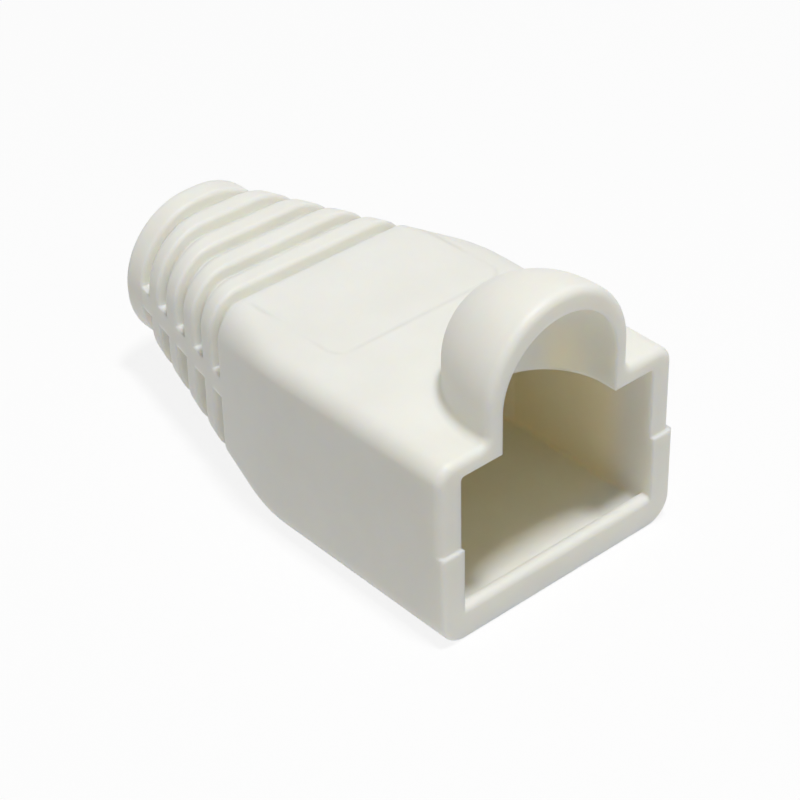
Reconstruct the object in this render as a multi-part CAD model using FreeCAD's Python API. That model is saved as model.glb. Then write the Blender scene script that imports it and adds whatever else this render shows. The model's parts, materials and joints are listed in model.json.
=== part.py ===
import FreeCAD, Part
import os

# Strain relief boot for an 8-position modular (RJ45) cable plug, moulded in one
# piece from soft PVC.
#
# Frame: millimetres, X across the boot, +Y from the mouth towards the cable end,
# +Z up.  The origin is on the underside, mid-width, in the plane of the upper
# half of the mouth's rim.

# ---- Driving dimensions ------------------------------------------------------

# Body: a straight box with rounded long edges.
BODY_WIDTH = 14.5
BODY_HEIGHT = 9.8
BODY_LENGTH = 12.5
UPPER_EDGE_RADIUS = 0.95
LOWER_EDGE_RADIUS = 1.35

# The two mould halves meet at this height.  The lower half of the rim stands
# proud of the upper half by the rim step.
PARTING_HEIGHT = 5.1
RIM_STEP = 0.22
RIM_EDGE_RADIUS = 0.4
LOWER_RIM_EDGE_RADIUS = 0.18

# Pocket that slides over the rear of the plug.
POCKET_WIDTH = 11.9
POCKET_DEPTH = 9.0
POCKET_CORNER_RADIUS = 0.2
FLOOR_THICKNESS = 1.2
ROOF_THICKNESS = 0.85

# Bead across the floor at the mouth.
BEAD_RISE = 0.55
BEAD_WIDTH = 0.7
BEAD_RADIUS = 0.3

# Hood over the plug's latch: an arch with a domed, closed back.  The space under
# it ends in a quarter of a sphere, and opens into the pocket through the roof.
HOOD_INNER_HALF_WIDTH = 3.5
HOOD_INNER_STRAIGHT = 0.8
HOOD_ARCH_HEIGHT = 11.05
HOOD_WALL = 0.8
HOOD_CROWN = 1.1
HOOD_STRAIGHT = 0.9
HOOD_BACK = 5.0
HOOD_FOOT_RADIUS = 0.4

# Tail: a taper from the body to a nearly round collar on the cable's axis.  The
# taper sets in gradually, over the ease before and after the body's end.
TAIL_LENGTH = 14.35
TAPER_EASE = 1.4
TAPER_EASE_STEPS = 6
TAPER_END_UPPER_RADIUS = 3.5
TAPER_END_LOWER_RADIUS = 3.3
COLLAR_LENGTH = 1.45
COLLAR_HALF_WIDTH = 4.35
COLLAR_HALF_HEIGHT = 4.17
COLLAR_CORNER_RADIUS = 4.05
CABLE_AXIS_HEIGHT = 5.34
CABLE_BORE_RADIUS = 3.0
CABLE_BORE_LENGTH = 6.85
END_BEVEL = 0.25

# Grooves that let the tail bend.  They stop short of a rail along each side.
GROOVE_COUNT = 5
GROOVE_PITCH = 2.02
GROOVE_WIDTH = 0.8
GROOVE_DEPTH = 0.6
GROOVE_DRAFT = 0.06
CREST_DROP = 0.14
CREST_NEAR_EASE = 0.14
CREST_FAR_EASE = 0.36
RAIL_BELOW_PARTING = 0.25
RAIL_ABOVE_PARTING = 0.9

# Cutters and trimming blocks run past the surface they meet by the overrun, and
# groove cutters by much less, so that a crest keeps its slope up to the surface.
OVERRUN = 1.0
PROUD = 0.05

# ---- Derived positions -------------------------------------------------------

half_width = BODY_WIDTH / 2
pocket_roof = BODY_HEIGHT - ROOF_THICKNESS
total_length = BODY_LENGTH + TAIL_LENGTH
collar_start = total_length - COLLAR_LENGTH
collar_bottom = CABLE_AXIS_HEIGHT - COLLAR_HALF_HEIGHT
collar_top = CABLE_AXIS_HEIGHT + COLLAR_HALF_HEIGHT
bore_start = total_length - CABLE_BORE_LENGTH
first_groove = collar_start - GROOVE_WIDTH / 2 - (GROOVE_COUNT - 1) * GROOVE_PITCH


def point(x, y, z):
    return FreeCAD.Vector(x, y, z)


def block(x_low, x_high, y_low, y_high, z_low, z_high):
    corner = point(x_low, y_low, z_low)
    return Part.makeBox(x_high - x_low, y_high - y_low, z_high - z_low, corner)


def edges_in(shape, x_low, x_high, y_low, y_high, z_low, z_high):
    """The edges that lie wholly within a box."""
    slack = 1e-4
    kept = []
    for edge in shape.Edges:
        box = edge.BoundBox
        if (
            box.XMin > x_low - slack and box.XMax < x_high + slack
            and box.YMin > y_low - slack and box.YMax < y_high + slack
            and box.ZMin > z_low - slack and box.ZMax < z_high + slack
        ):
            kept.append(edge)
    return kept


# ---- Cross-sections and the skins between them -------------------------------

def rounded_section(y, half, low, high, low_radius, high_radius):
    """A rounded rectangle in the plane y, as eight spans in order.

    A span of two points is straight and one of three points is an arc.
    """
    diagonal = 0.5 ** 0.5

    def corner(x_sign, z_sign, radius, first_axis):
        centre_x = x_sign * (half - radius)
        centre_z = high - radius if z_sign > 0 else low + radius
        on_side = point(centre_x + x_sign * radius, y, centre_z)
        middle = point(
            centre_x + x_sign * radius * diagonal,
            y,
            centre_z + z_sign * radius * diagonal,
        )
        on_level = point(centre_x, y, centre_z + z_sign * radius)
        if first_axis == "level":
            return (on_level, middle, on_side)
        return (on_side, middle, on_level)

    corners = [
        corner(1, -1, low_radius, "level"),
        corner(1, 1, high_radius, "side"),
        corner(-1, 1, high_radius, "level"),
        corner(-1, -1, low_radius, "side"),
    ]
    spans = []
    for here, following in zip(corners, corners[1:] + corners[:1]):
        spans.append(here)
        spans.append((here[-1], following[0]))
    return spans


def distinct(points):
    kept = []
    for candidate in points:
        if all(candidate.distanceToPoint(other) > 1e-6 for other in kept):
            kept.append(candidate)
    return kept


def span_edge(span):
    if len(span) == 2:
        return Part.makeLine(*span)
    return Part.Arc(*span).toShape()


def strip(near, far):
    """The face between matching spans, or None where both have shrunk to a point."""
    if len(near) == 3:
        return Part.makeRuledSurface(span_edge(near), span_edge(far))
    outline = distinct([near[0], near[1], far[1], far[0]])
    if len(outline) < 3:
        return None
    return Part.Face(Part.makePolygon(outline + outline[:1]))


def cap(section):
    spans = [span for span in section if len(distinct(span)) > 1]
    return Part.Face(Part.Wire([span_edge(span) for span in spans]))


def skin_solid(sections):
    """A solid with straight-ruled skin through the sections."""
    faces = [cap(sections[0]), cap(sections[-1])]
    for near, far in zip(sections, sections[1:]):
        strips = [strip(a, b) for a, b in zip(near, far)]
        faces += [face for face in strips if face is not None]
    shell = Part.makeShell(faces)
    shell.sewShape()
    solid = Part.makeSolid(shell)
    if solid.Volume < 0:
        solid.reverse()
    return solid


def prism(section, length):
    """A solid of one section, drawn out along +Y."""
    return cap(section).extrude(point(0.0, length, 0.0))


def taper_share(y):
    """How far the taper has come at y: none along the body, all at the collar.

    Around the body's end it grows along a parabola that meets both straight runs.
    """
    past = y - BODY_LENGTH
    if past < -TAPER_EASE:
        past = 0.0
    elif past < TAPER_EASE:
        past = (past + TAPER_EASE) ** 2 / (4 * TAPER_EASE)
    return past / (collar_start - BODY_LENGTH)


def taper_section(y, inset=0.0):
    """The outside of body and taper at y, moved inwards by inset."""
    share = taper_share(y)

    def blend(at_body, at_collar):
        return at_body + (at_collar - at_body) * share

    return rounded_section(
        y,
        blend(half_width, COLLAR_HALF_WIDTH) - inset,
        blend(0.0, collar_bottom) + inset,
        blend(BODY_HEIGHT, collar_top) - inset,
        blend(LOWER_EDGE_RADIUS, TAPER_END_LOWER_RADIUS) - inset,
        blend(UPPER_EDGE_RADIUS, TAPER_END_UPPER_RADIUS) - inset,
    )


def collar_section(y, inset=0.0):
    """The collar's outside at y, moved inwards by inset."""
    radius = COLLAR_CORNER_RADIUS - inset
    return rounded_section(
        y, COLLAR_HALF_WIDTH - inset, collar_bottom + inset, collar_top - inset, radius, radius
    )


# ---- Outside -----------------------------------------------------------------

def body_and_taper():
    """The body, stepped at the rim, and the plain taper behind it."""
    ease_start = BODY_LENGTH - TAPER_EASE
    body = prism(taper_section(-RIM_STEP), ease_start + RIM_STEP)
    stations = []
    for index in range(TAPER_EASE_STEPS + 1):
        stations.append(ease_start + index * 2 * TAPER_EASE / TAPER_EASE_STEPS)
    stations += [first_groove, collar_start]
    taper = skin_solid([taper_section(y) for y in stations])
    step = block(
        -BODY_WIDTH, BODY_WIDTH, -RIM_STEP - OVERRUN, 0.0, PARTING_HEIGHT, BODY_HEIGHT + OVERRUN
    )
    return body.cut(step).fuse(taper)


def groove_cutter(centre, near_ease, far_section):
    """What one groove removes: a ring around its floor, open at the side rails."""
    near = centre - GROOVE_WIDTH / 2
    far = centre + GROOVE_WIDTH / 2
    neck = skin_solid([
        taper_section(near - near_ease, -PROUD),
        taper_section(near, CREST_DROP),
        taper_section(near + GROOVE_DRAFT, GROOVE_DEPTH),
        far_section(far - GROOVE_DRAFT, GROOVE_DEPTH),
        far_section(far, CREST_DROP),
        far_section(far + CREST_NEAR_EASE, -PROUD),
    ])

    def level_block(z_low, z_high):
        return block(
            -BODY_WIDTH, BODY_WIDTH, near - near_ease, far + CREST_NEAR_EASE, z_low, z_high
        )

    upper = level_block(PARTING_HEIGHT + RAIL_ABOVE_PARTING, BODY_HEIGHT + OVERRUN)
    lower = level_block(-OVERRUN, PARTING_HEIGHT - RAIL_BELOW_PARTING)
    return [upper.cut(neck), lower.cut(neck)]


def collar():
    """The cable end's collar, which starts under the last groove."""
    start = collar_start - GROOVE_WIDTH / 2
    return prism(collar_section(start), total_length - start)


def grooves():
    """The cutters of all grooves.  The first leaves the body's edge crisper than the rest."""
    cutters = groove_cutter(first_groove, CREST_NEAR_EASE, taper_section)
    for index in range(1, GROOVE_COUNT):
        centre = first_groove + index * GROOVE_PITCH
        far_section = collar_section if index == GROOVE_COUNT - 1 else taper_section
        cutters += groove_cutter(centre, CREST_FAR_EASE, far_section)
    return cutters


def right_half_plan(half, back, centre):
    """The right half of the plan of a domed back: a quarter of an ellipse or a circle."""
    if back > half:
        rim = Part.Ellipse(
            centre + point(0.0, back, 0.0), centre + point(half, 0.0, 0.0), centre
        )
    else:
        rim = Part.Circle(centre, point(0.0, 0.0, 1.0), half)
    plan = Part.Face(Part.Wire(rim.toShape()))
    reach = half + back
    quadrant = block(0.0, reach, centre.y, centre.y + reach, centre.z - 1.0, centre.z + 1.0)
    return plan.common(quadrant).Faces[0]


def domed_arch(half, straight, back, axis_height, foot):
    """An upright arch that runs back from the rim plane and closes in a dome.

    Its plan is two straight sides and half an ellipse, which may be a circle.
    Above the axis height the plan is turned about the arch's axis, and below it
    the sides drop straight to the foot.
    """
    front = [
        Part.makeLine(point(half, 0.0, foot), point(half, 0.0, axis_height)),
        Part.Arc(
            point(half, 0.0, axis_height),
            point(0.0, 0.0, axis_height + half),
            point(-half, 0.0, axis_height),
        ).toShape(),
        Part.makeLine(point(-half, 0.0, axis_height), point(-half, 0.0, foot)),
        Part.makeLine(point(-half, 0.0, foot), point(half, 0.0, foot)),
    ]
    arch = Part.Face(Part.Wire(front)).extrude(point(0.0, straight, 0.0))
    centre = point(0.0, straight, axis_height)
    right_plan = right_half_plan(half, back, centre)
    dome = right_plan.revolve(centre, point(0.0, -1.0, 0.0), 180)
    right_column = right_plan.extrude(point(0.0, 0.0, foot - axis_height))
    left_column = right_column.mirror(centre, point(1.0, 0.0, 0.0))
    return arch.fuse([dome, right_column, left_column]).removeSplitter()


def hood():
    return domed_arch(
        HOOD_INNER_HALF_WIDTH + HOOD_WALL,
        HOOD_STRAIGHT,
        HOOD_BACK,
        HOOD_ARCH_HEIGHT + HOOD_CROWN - HOOD_WALL,
        pocket_roof,
    )


# ---- Inside ------------------------------------------------------------------

def pocket():
    """The plug's pocket, which narrows behind the plug to a square around the bore."""
    def section(y, half, low, high):
        return rounded_section(y, half, low, high, POCKET_CORNER_RADIUS, POCKET_CORNER_RADIUS)

    return skin_solid([
        section(-RIM_STEP - OVERRUN, POCKET_WIDTH / 2, FLOOR_THICKNESS, pocket_roof),
        section(POCKET_DEPTH, POCKET_WIDTH / 2, FLOOR_THICKNESS, pocket_roof),
        section(
            bore_start, CABLE_BORE_RADIUS,
            CABLE_AXIS_HEIGHT - CABLE_BORE_RADIUS, CABLE_AXIS_HEIGHT + CABLE_BORE_RADIUS,
        ),
    ])


def cable_bore():
    return Part.makeCylinder(
        CABLE_BORE_RADIUS, CABLE_BORE_LENGTH + OVERRUN,
        point(0.0, bore_start, CABLE_AXIS_HEIGHT), point(0.0, 1.0, 0.0),
    )


def latch_space():
    reach = RIM_STEP + OVERRUN
    space = domed_arch(
        HOOD_INNER_HALF_WIDTH, HOOD_INNER_STRAIGHT + reach, HOOD_INNER_HALF_WIDTH,
        HOOD_ARCH_HEIGHT, pocket_roof - OVERRUN,
    )
    space.translate(point(0.0, -reach, 0.0))
    return space


def mouth_bead():
    """A round-topped bar across the floor, in the lower rim's front plane."""
    # The bar's ends are sunk into the middle of the side walls.
    half_length = (POCKET_WIDTH + BODY_WIDTH) / 4
    bar = block(
        -half_length, half_length, -RIM_STEP, BEAD_WIDTH - RIM_STEP,
        FLOOR_THICKNESS / 2, FLOOR_THICKNESS + BEAD_RISE,
    )
    top = [edge for edge in bar.Edges
           if edge.BoundBox.ZMin > FLOOR_THICKNESS and edge.BoundBox.XLength > BEAD_WIDTH]
    return bar.makeFillet(BEAD_RADIUS, top)


# ---- Softened edges ----------------------------------------------------------

def soften_outside(solid):
    """Round the hood's foot and both halves of the rim, and bevel the cable end."""
    hood_half = HOOD_INNER_HALF_WIDTH + HOOD_WALL
    top = BODY_HEIGHT
    foot = edges_in(solid, -hood_half, hood_half, 0.0, HOOD_STRAIGHT + HOOD_BACK, top, top)
    solid = solid.makeFillet(HOOD_FOOT_RADIUS, foot)
    above_parting = PARTING_HEIGHT + RIM_STEP
    highest = BODY_HEIGHT + BODY_WIDTH
    # The upper rim is one smooth line that runs up over the hood.
    upper_rim = edges_in(solid, -half_width, half_width, 0.0, 0.0, above_parting, highest)
    solid = solid.makeFillet(RIM_EDGE_RADIUS, upper_rim)
    lower_rim = edges_in(
        solid, -half_width, half_width, -RIM_STEP, -RIM_STEP, 0.0, LOWER_EDGE_RADIUS
    )
    solid = solid.makeFillet(LOWER_RIM_EDGE_RADIUS, lower_rim)
    end_circle = edges_in(
        solid, -half_width, half_width, total_length, total_length, 0.0, BODY_HEIGHT
    )
    return solid.makeChamfer(END_BEVEL, end_circle)


# ---- The boot ----------------------------------------------------------------

def boot():
    shell = body_and_taper().fuse(collar()).removeSplitter().cut(grooves())
    outside = soften_outside(shell.fuse(hood()).removeSplitter())
    inside = pocket().fuse([cable_bore(), latch_space()])
    return outside.cut(inside).fuse(mouth_bead()).removeSplitter()


os.makedirs("parts", exist_ok=True)
boot().Solids[0].exportStep("parts/boot.step")
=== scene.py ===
"""Looks of the strain relief boot: its moulded PVC, a pale floor, soft studio light and the camera.

Every length is in metres, in the frame of the CAD model: X across the plug's mouth, Y along the
cable from the mouth at 0 to the tail, Z up from the flat underside.  Only the camera's lens and
sensor are in millimetres, as Blender takes them.
"""

import json
import math

import bpy
from mathutils import Matrix, Vector

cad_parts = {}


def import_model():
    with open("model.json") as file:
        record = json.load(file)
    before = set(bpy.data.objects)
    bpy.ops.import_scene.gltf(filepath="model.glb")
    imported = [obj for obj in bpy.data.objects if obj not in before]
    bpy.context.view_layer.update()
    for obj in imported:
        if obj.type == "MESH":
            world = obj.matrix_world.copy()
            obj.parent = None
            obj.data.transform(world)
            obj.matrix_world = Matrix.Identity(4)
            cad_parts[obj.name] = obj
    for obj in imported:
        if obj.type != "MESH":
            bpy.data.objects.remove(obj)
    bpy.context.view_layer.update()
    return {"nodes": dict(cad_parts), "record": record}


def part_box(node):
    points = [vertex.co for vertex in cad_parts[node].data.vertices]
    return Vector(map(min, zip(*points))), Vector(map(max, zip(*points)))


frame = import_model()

MM = 0.001

# ---------------------------------------------------------------- places read from the frame

BOOT = frame["nodes"]["boot"]
LOW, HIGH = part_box("boot")
MOUNTS = {mount["name"]: mount for mount in frame["record"]["mounts"]}
AXIS_HEIGHT = MOUNTS["cable_bore"]["pos_m"][2]
OPENINGS = {opening["name"]: opening for opening in frame["record"]["physics"]["openings"]}
POCKET_HIGH = Vector(OPENINGS["plug_pocket"]["box_m"][1])
MIDDLE = (LOW + HIGH) / 2
LENGTH = HIGH.y - LOW.y
FIRST_GROOVE_SHARE = 0.61
FIRST_GROOVE = LOW.y + FIRST_GROOVE_SHARE * LENGTH

# ---------------------------------------------------------------- camera

VIEW_AZIMUTH = -40.9
VIEW_ELEVATION = 35.5
VIEW_ROLL = -1.26
VIEW_DISTANCE = 4.274 * LENGTH
LOOK_AT = Vector((MIDDLE.x - 0.73 * MM, LOW.y + 0.374 * LENGTH, AXIS_HEIGHT))
LENS = 110.1
SENSOR_WIDTH = 36
CLIP_NEAR = 5 * MM
CLIP_FAR = 10

# ---------------------------------------------------------------- material

REFRACTIVE_INDEX = 1.5
SCATTER_RADII = (1.0, 0.85, 0.6)
SCATTER_SCALE = 1.0 * MM

# The mottle runs through colour and gloss, and the grain is a relief.
MOTTLE_SIZE = 3 * MM
MOTTLE_DETAIL = 3
MOTTLE_RANGE = (0.3, 0.7)
ROUGHNESS_RANGE = (0.42, 0.54)
GRAIN_SIZE = 0.35 * MM
GRAIN_DETAIL = 4
GRAIN_STRENGTH = 0.25
GRAIN_DEPTH = 0.01 * MM

# Ivory outside.  On the pocket's walls a warmer, brighter colour is painted bounce light, standing
# in for light that bounces many times in there.  A wall counts as inside where it faces the cable's
# axis from far enough.  The painted warmth grows with the depth behind the mouth, and fades out
# above the pocket's roof, under the hood.
OUTER_COLOURS = ((0.815, 0.812, 0.755), (0.840, 0.838, 0.790))
# Painted warm bounce light, for the pocket's walls.
BOUNCE_LIGHT_COLOURS = ((0.930, 0.860, 0.640), (0.950, 0.885, 0.685))
BOUNCE_FACING_FROM = 1.0 * MM
BOUNCE_FACING_TO = 2.5 * MM
BOUNCE_DEPTH_FROM = 1 * MM
BOUNCE_DEPTH_TO = 3.5 * MM
BOUNCE_ABOVE_ROOF = 4 * MM

# The mould's rounding, widest along the body's two long upper edges, from behind the mouth to the
# first groove.
EDGE_SOFTNESS = 0.25 * MM
LONG_EDGE_SOFTNESS = 0.75 * MM
LONG_EDGE_BAND = 0.8 * MM
LONG_EDGE_FROM = 1 * MM
LONG_EDGE_TO = 2.5 * MM
BEVEL_SAMPLES = 6
GROOVE_FADE = 1 * MM

# The top face falls off slightly towards its long edges, more so behind the mouth.
CROWN_FALL = 0.3 * MM
CROWN_INSIDE_POCKET = 1 * MM
CROWN_PAST_SIDE = 0.5 * MM
CROWN_FROM = 1 * MM
CROWN_TO = 7 * MM

# The faint outline of a mould insert on the top face, worn where the mottle is low: a shallow bump,
# and painted shade that darkens the colour along it.
MARK_MIDDLE = (0.5 * MM, 13.2 * MM, 0)
MARK_STRAIGHT_HALVES = (4.4 * MM, 2.8 * MM, 0)
MARK_CORNER = 0.8 * MM
MARK_LINE = 0.22 * MM
MARK_DEPTH = 0.03 * MM
MARK_ABOVE_ROOF = 0.5 * MM
MARK_WORN = 0.3
MARK_WHOLE = 0.6
# Painted shade along the mould mark: how strongly it darkens the colour, and towards which grey.
MARK_SHADE_STRENGTH = 0.16
MARK_SHADE_COLOUR = (0.55, 0.55, 0.55)

# ---------------------------------------------------------------- light

# The softbox hangs over the boot, a little in front of its mouth, so that its light reaches the
# pocket's floor.  The camera sees the floor as FLOOR_GLOW_SHARE of white and the rest as paper.
WHITE = (1, 1, 1, 1)
SOFTBOX_HEIGHT = 300 * MM
SOFTBOX_SIZE = 36 * MM
SOFTBOX_FORWARD = 52 * MM
SOFTBOX_POWER = 0.625
WORLD_GREY = 0.258
FLOOR_SIZE = 4.0
FLOOR_WHITE = 0.9
FLOOR_GLOW_SHARE = 0.86


def camera():
    """The camera, aimed at LOOK_AT, and rolled a little about its own line of sight."""
    azimuth = math.radians(VIEW_AZIMUTH)
    elevation = math.radians(VIEW_ELEVATION)
    back = Vector((
        math.sin(azimuth) * math.cos(elevation),
        -math.cos(azimuth) * math.cos(elevation),
        math.sin(elevation),
    ))
    level = Vector((math.cos(azimuth), math.sin(azimuth), 0))
    roll = Matrix.Rotation(math.radians(VIEW_ROLL), 3, back)
    right = roll @ level
    up = back.cross(right)
    data = bpy.data.cameras.new("camera")
    data.lens = LENS
    data.sensor_width = SENSOR_WIDTH
    data.clip_start = CLIP_NEAR
    data.clip_end = CLIP_FAR
    seat = bpy.data.objects.new("camera", data)
    turn = Matrix((right, up, back)).transposed().to_4x4()
    seat.matrix_world = Matrix.Translation(LOOK_AT + back * VIEW_DISTANCE) @ turn
    bpy.context.scene.collection.objects.link(seat)
    bpy.context.scene.camera = seat


def area_light(name, place, size, power):
    """A square soft light, facing the middle of the boot."""
    data = bpy.data.lights.new(name, "AREA")
    data.shape = "SQUARE"
    data.size = size
    data.energy = power
    lamp = bpy.data.objects.new(name, data)
    lamp.location = place
    lamp.rotation_mode = "QUATERNION"
    lamp.rotation_quaternion = (place - MIDDLE).to_track_quat("Z", "Y")
    bpy.context.scene.collection.objects.link(lamp)


def camera_or_mirror(nodes, links):
    """1 where the floor or the world is seen, straight on, in a gloss or through glass, else 0."""
    path = nodes.new("ShaderNodeLightPath")
    seen = path.outputs["Is Camera Ray"]
    for kind in ("Is Glossy Ray", "Is Transmission Ray"):
        either = nodes.new("ShaderNodeMath")
        either.operation = "MAXIMUM"
        links.new(seen, either.inputs[0])
        links.new(path.outputs[kind], either.inputs[1])
        seen = either.outputs[0]
    return seen


def world():
    """White where the camera looks past the floor, and a plain grey as a light."""
    sky = bpy.data.worlds.new("studio")
    sky.use_nodes = True
    bpy.context.scene.world = sky
    nodes, links = sky.node_tree.nodes, sky.node_tree.links
    nodes.clear()
    grey = nodes.new("ShaderNodeBackground")
    grey.inputs["Color"].default_value = WHITE
    grey.inputs["Strength"].default_value = WORLD_GREY
    white = nodes.new("ShaderNodeBackground")
    white.inputs["Color"].default_value = WHITE
    either = nodes.new("ShaderNodeMixShader")
    links.new(camera_or_mirror(nodes, links), either.inputs[0])
    links.new(grey.outputs[0], either.inputs[1])
    links.new(white.outputs[0], either.inputs[2])
    out = nodes.new("ShaderNodeOutputWorld")
    links.new(either.outputs[0], out.inputs["Surface"])


def floor():
    """A wide pale sheet, close to white where the camera sees it, which keeps the shadow."""
    mesh = bpy.data.meshes.new("floor")
    half = FLOOR_SIZE / 2
    plan = ((-half, -half), (half, -half), (half, half), (-half, half))
    mesh.from_pydata([(x, y, LOW.z) for x, y in plan], [], [(0, 1, 2, 3)])
    sheet = bpy.data.objects.new("floor", mesh)
    bpy.context.scene.collection.objects.link(sheet)
    material = bpy.data.materials.new("floor")
    material.use_nodes = True
    nodes, links = material.node_tree.nodes, material.node_tree.links
    nodes.clear()
    paper = nodes.new("ShaderNodeBsdfDiffuse")
    paper.inputs["Color"].default_value = (FLOOR_WHITE,) * 3 + (1,)
    glow = nodes.new("ShaderNodeEmission")
    share = nodes.new("ShaderNodeMath")
    share.operation = "MULTIPLY"
    share.inputs[1].default_value = FLOOR_GLOW_SHARE
    links.new(camera_or_mirror(nodes, links), share.inputs[0])
    mix = nodes.new("ShaderNodeMixShader")
    links.new(share.outputs[0], mix.inputs[0])
    links.new(paper.outputs[0], mix.inputs[1])
    links.new(glow.outputs[0], mix.inputs[2])
    out = nodes.new("ShaderNodeOutputMaterial")
    links.new(mix.outputs[0], out.inputs["Surface"])
    mesh.materials.append(material)


def number(nodes, links, operation, *terms):
    """A sum, product or the like of one or two numbers, each a socket or a value."""
    node = nodes.new("ShaderNodeMath")
    node.operation = operation
    for socket, given in zip(node.inputs, terms):
        if isinstance(given, (int, float)):
            socket.default_value = given
        else:
            links.new(given, socket)
    return node.outputs[0]


def vector(nodes, links, operation, *terms):
    """The same for vectors, each a socket or a triple."""
    node = nodes.new("ShaderNodeVectorMath")
    node.operation = operation
    for socket, given in zip(node.inputs, terms):
        if isinstance(given, tuple):
            socket.default_value = given
        else:
            links.new(given, socket)
    return node.outputs["Value" if operation in ("DOT_PRODUCT", "LENGTH") else "Vector"]


def fade(nodes, links, value, none_at, full_at):
    """0 up to one value and 1 from another on, smooth between."""
    node = nodes.new("ShaderNodeMapRange")
    node.interpolation_type = "SMOOTHSTEP"
    node.inputs["From Min"].default_value = none_at
    node.inputs["From Max"].default_value = full_at
    links.new(value, node.inputs["Value"])
    return node.outputs[0]


def ramp(nodes, links, value, low_colour, high_colour):
    """Colours between two, as the value goes through the mottle's range."""
    node = nodes.new("ShaderNodeValToRGB")
    for element, position, colour in zip(
        node.color_ramp.elements, MOTTLE_RANGE, (low_colour, high_colour)
    ):
        element.position = position
        element.color = colour + (1,)
    links.new(value, node.inputs[0])
    return node.outputs[0]


def noise(nodes, links, place, size, detail):
    """Smooth noise between 0 and 1, with blobs of about the given size."""
    node = nodes.new("ShaderNodeTexNoise")
    node.inputs["Scale"].default_value = 1 / size
    node.inputs["Detail"].default_value = detail
    links.new(place, node.inputs["Vector"])
    return node.outputs["Fac"]


def product(nodes, links, first, *others):
    """All the given shares multiplied."""
    share = first
    for other in others:
        share = number(nodes, links, "MULTIPLY", share, other)
    return share


def before_first_groove(nodes, links, depth):
    """1 on the body and 0 from the first groove on."""
    return fade(nodes, links, depth, FIRST_GROOVE, FIRST_GROOVE - GROOVE_FADE)


def either_side(nodes, links, place):
    """The sockets X, Y and Z of a place, taken as positive, so that both sides are alike."""
    split = nodes.new("ShaderNodeSeparateXYZ")
    links.new(vector(nodes, links, "ABSOLUTE", place), split.inputs[0])
    return split.outputs


def painted_bounce_share(nodes, links):
    """1 on the pocket's walls behind the mouth, which get painted warm bounce light, and 0 outside.

    A wall belongs to the inside where it faces the cable's axis.
    """
    geometry = nodes.new("ShaderNodeNewGeometry")
    place = geometry.outputs["Position"]
    from_axis = vector(nodes, links, "SUBTRACT", place, (0, 0, AXIS_HEIGHT))
    level = vector(nodes, links, "MULTIPLY", from_axis, (1, 0, 1))
    outward = vector(nodes, links, "DOT_PRODUCT", level, geometry.outputs["Normal"])
    bounce_facing = fade(nodes, links, outward, -BOUNCE_FACING_FROM, -BOUNCE_FACING_TO)
    split = nodes.new("ShaderNodeSeparateXYZ")
    links.new(place, split.inputs[0])
    deep = fade(nodes, links, split.outputs["Y"], BOUNCE_DEPTH_FROM, BOUNCE_DEPTH_TO)
    low = fade(nodes, links, split.outputs["Z"], POCKET_HIGH.z + BOUNCE_ABOVE_ROOF, POCKET_HIGH.z)
    return product(nodes, links, bounce_facing, deep, low)


def mould_mark(nodes, links, place, mottle):
    """1 on the faint outline a mould insert left on the top face, a rounded rectangle; relief and
    painted shade.

    It is worn in patches, and ends at the first groove.
    """
    from_middle = vector(nodes, links, "SUBTRACT", place, MARK_MIDDLE)
    one_corner = vector(nodes, links, "ABSOLUTE", from_middle)
    past = vector(nodes, links, "SUBTRACT", one_corner, MARK_STRAIGHT_HALVES)
    flat = vector(nodes, links, "MULTIPLY", past, (1, 1, 0))
    round_off = vector(nodes, links, "MAXIMUM", flat, (0, 0, 0))
    reach = vector(nodes, links, "LENGTH", round_off)
    off_line = number(nodes, links, "SUBTRACT", reach, MARK_CORNER)
    away = number(nodes, links, "ABSOLUTE", off_line)
    line = fade(nodes, links, away, MARK_LINE, 0)
    split = nodes.new("ShaderNodeSeparateXYZ")
    links.new(place, split.inputs[0])
    high = fade(nodes, links, split.outputs["Z"], POCKET_HIGH.z, POCKET_HIGH.z + MARK_ABOVE_ROOF)
    ahead = before_first_groove(nodes, links, split.outputs["Y"])
    kept = fade(nodes, links, mottle, MARK_WORN, MARK_WHOLE)
    return product(nodes, links, line, high, ahead, kept)


def crown(nodes, links, place):
    """How far the top face falls off towards its long edges, as a share."""
    at = either_side(nodes, links, place)
    aside = fade(
        nodes, links, at["X"], POCKET_HIGH.x - CROWN_INSIDE_POCKET, HIGH.x + CROWN_PAST_SIDE
    )
    back = fade(nodes, links, at["Y"], CROWN_FROM, CROWN_TO)
    return product(nodes, links, aside, back)


def softness(nodes, links):
    """How far the mould's rounding of an edge reaches: most along the body's upper edges."""
    place = nodes.new("ShaderNodeNewGeometry").outputs["Position"]
    at = either_side(nodes, links, place)
    side = fade(nodes, links, at["X"], POCKET_HIGH.x - LONG_EDGE_BAND, POCKET_HIGH.x)
    high = fade(nodes, links, at["Z"], POCKET_HIGH.z - LONG_EDGE_BAND, POCKET_HIGH.z)
    back = fade(nodes, links, at["Y"], LONG_EDGE_FROM, LONG_EDGE_TO)
    ahead = before_first_groove(nodes, links, at["Y"])
    share = product(nodes, links, side, high, back, ahead)
    more = number(nodes, links, "MULTIPLY", share, LONG_EDGE_SOFTNESS - EDGE_SOFTNESS)
    return number(nodes, links, "ADD", more, EDGE_SOFTNESS)


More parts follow.
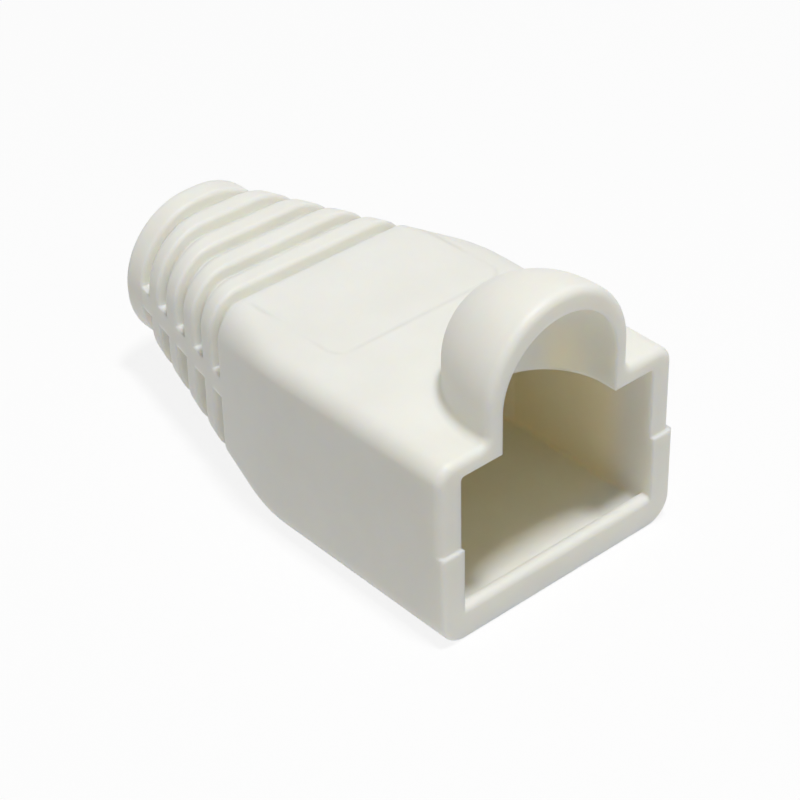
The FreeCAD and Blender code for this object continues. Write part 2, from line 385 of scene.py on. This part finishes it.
def ivory(nodes, links, mottle, mark):
    """The colour: ivory, with painted warm bounce light inside and painted shade along the mould
    mark.
    """
    base = nodes.new("ShaderNodeMix")
    base.data_type = "RGBA"
    # Painted warm bounce light on the pocket's walls.
    links.new(painted_bounce_share(nodes, links), base.inputs["Factor"])
    links.new(ramp(nodes, links, mottle, *OUTER_COLOURS), base.inputs["A"])
    links.new(ramp(nodes, links, mottle, *BOUNCE_LIGHT_COLOURS), base.inputs["B"])
    # Painted shade along the mould mark.
    shaded_by_mark = nodes.new("ShaderNodeMix")
    shaded_by_mark.data_type = "RGBA"
    shaded_by_mark.blend_type = "MULTIPLY"
    links.new(number(nodes, links, "MULTIPLY", mark, MARK_SHADE_STRENGTH), shaded_by_mark.inputs["Factor"])
    links.new(base.outputs["Result"], shaded_by_mark.inputs["A"])
    shaded_by_mark.inputs["B"].default_value = MARK_SHADE_COLOUR + (1,)
    return shaded_by_mark.outputs["Result"]


def roughness(nodes, links, mottle):
    """Satin, a little uneven."""
    node = nodes.new("ShaderNodeMapRange")
    node.inputs["To Min"].default_value, node.inputs["To Max"].default_value = ROUGHNESS_RANGE
    links.new(mottle, node.inputs["Value"])
    return node.outputs[0]


def relief(nodes, links, place, mark):
    """Soft edges, the fall of the top face, the mould mark and the grain, one upon the other."""
    edge = nodes.new("ShaderNodeBevel")
    edge.samples = BEVEL_SAMPLES
    links.new(softness(nodes, links), edge.inputs["Radius"])
    normal = edge.outputs[0]
    for height, strength, distance in (
        (crown(nodes, links, place), 1.0, -CROWN_FALL),
        (mark, 1.0, -MARK_DEPTH),
        (noise(nodes, links, place, GRAIN_SIZE, GRAIN_DETAIL), GRAIN_STRENGTH, GRAIN_DEPTH),
    ):
        bump = nodes.new("ShaderNodeBump")
        bump.inputs["Strength"].default_value = strength
        bump.inputs["Distance"].default_value = distance
        links.new(height, bump.inputs["Height"])
        links.new(normal, bump.inputs["Normal"])
        normal = bump.outputs[0]
    return normal


def pvc():
    """Soft PVC, satin as it left the mould, which lets some light through its thin walls."""
    material = bpy.data.materials.new("ivory_pvc")
    material.use_nodes = True
    nodes, links = material.node_tree.nodes, material.node_tree.links
    shader = nodes["Principled BSDF"]
    shader.inputs["IOR"].default_value = REFRACTIVE_INDEX
    shader.inputs["Subsurface Weight"].default_value = 1.0
    shader.inputs["Subsurface Radius"].default_value = SCATTER_RADII
    shader.inputs["Subsurface Scale"].default_value = SCATTER_SCALE
    place = nodes.new("ShaderNodeTexCoord").outputs["Object"]
    mottle = noise(nodes, links, place, MOTTLE_SIZE, MOTTLE_DETAIL)
    mark = mould_mark(nodes, links, place, mottle)
    links.new(ivory(nodes, links, mottle, mark), shader.inputs["Base Color"])
    links.new(roughness(nodes, links, mottle), shader.inputs["Roughness"])
    links.new(relief(nodes, links, place, mark), shader.inputs["Normal"])
    return material


def dress_boot():
    """Gives the CAD solid its material."""
    BOOT.data.materials.clear()
    BOOT.data.materials.append(pvc())


def studio():
    """Light, floor and world."""
    over = Vector((MIDDLE.x, MIDDLE.y - SOFTBOX_FORWARD, SOFTBOX_HEIGHT))
    area_light("softbox", over, SOFTBOX_SIZE, SOFTBOX_POWER)
    world()
    floor()


dress_boot()
studio()
camera()
bpy.context.scene.view_settings.view_transform = "Standard"
